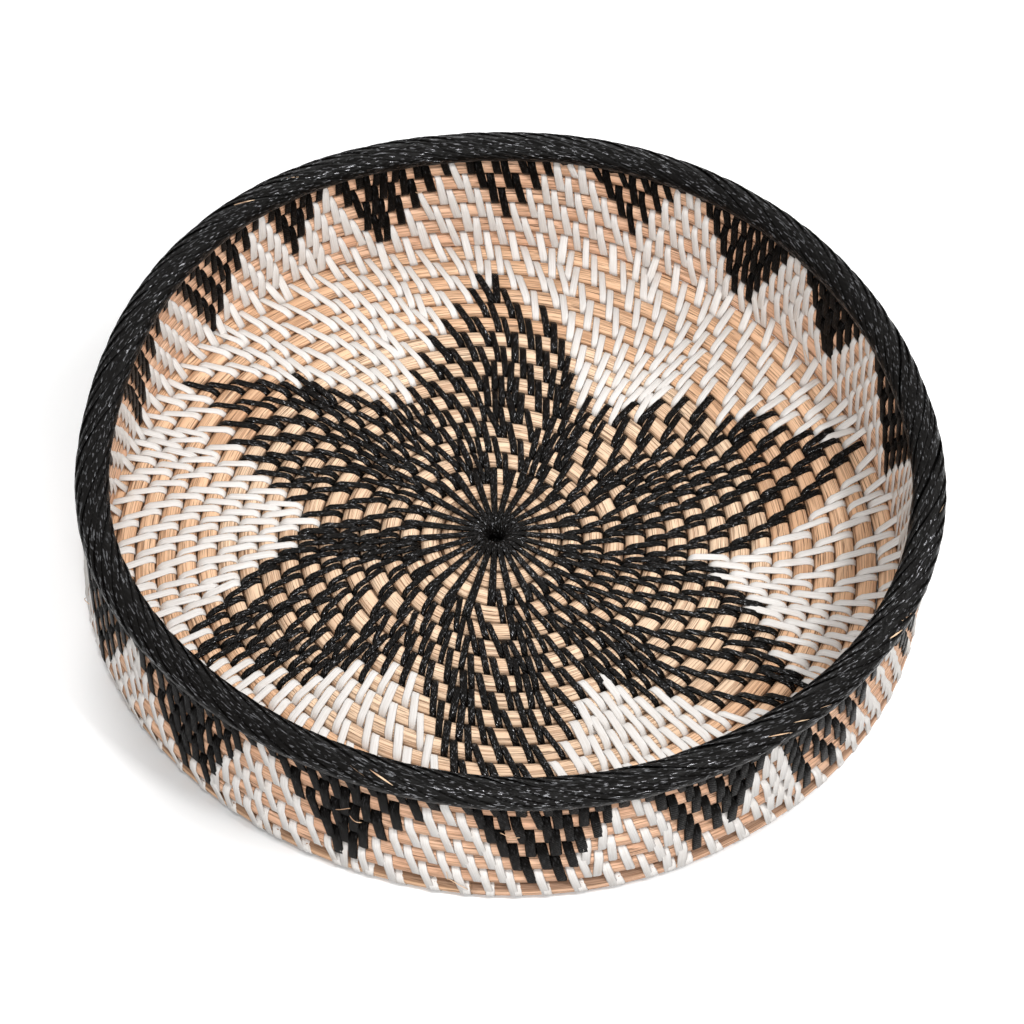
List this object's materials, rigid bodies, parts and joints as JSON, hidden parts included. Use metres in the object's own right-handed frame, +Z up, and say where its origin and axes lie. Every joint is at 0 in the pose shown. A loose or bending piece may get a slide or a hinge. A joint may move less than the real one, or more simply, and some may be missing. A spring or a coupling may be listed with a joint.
{
  "type": "coiled rattan tray",
  "caption": "Round coiled rattan tray with a low upright wall and a thick wrapped rim, for carrying or displaying fruit, bread and small goods.",
  "frame": {"origin": "middle of the footprint on the ground", "axes": "+Z up through the open top; -Y is the side that faces the picture's camera"},
  "size_m": [0.401, 0.4004, 0.0824],
  "materials": {
    "rattan_core": "matte peeled rattan core with fine lengthwise fibre lines",
    "black_strip": "dyed black rattan strip, satin, with glossy edges",
    "white_strip": "bleached off-white rattan strip, matte, with fine lengthwise fibres"
  },
  "bodies": {
    "root": {"centre_eye": "black_strip", "floor_core_1": "rattan_core", "floor_core_2": "rattan_core", "floor_core_3": "rattan_core", "floor_core_4": "rattan_core", "floor_core_5": "rattan_core", "wall_core_1": "rattan_core", "wall_core_2": "rattan_core", "wall_core_3": "rattan_core", "rim_core": "rattan_core", "rim_binding": "black_strip"}
  },
  "joints": []
}
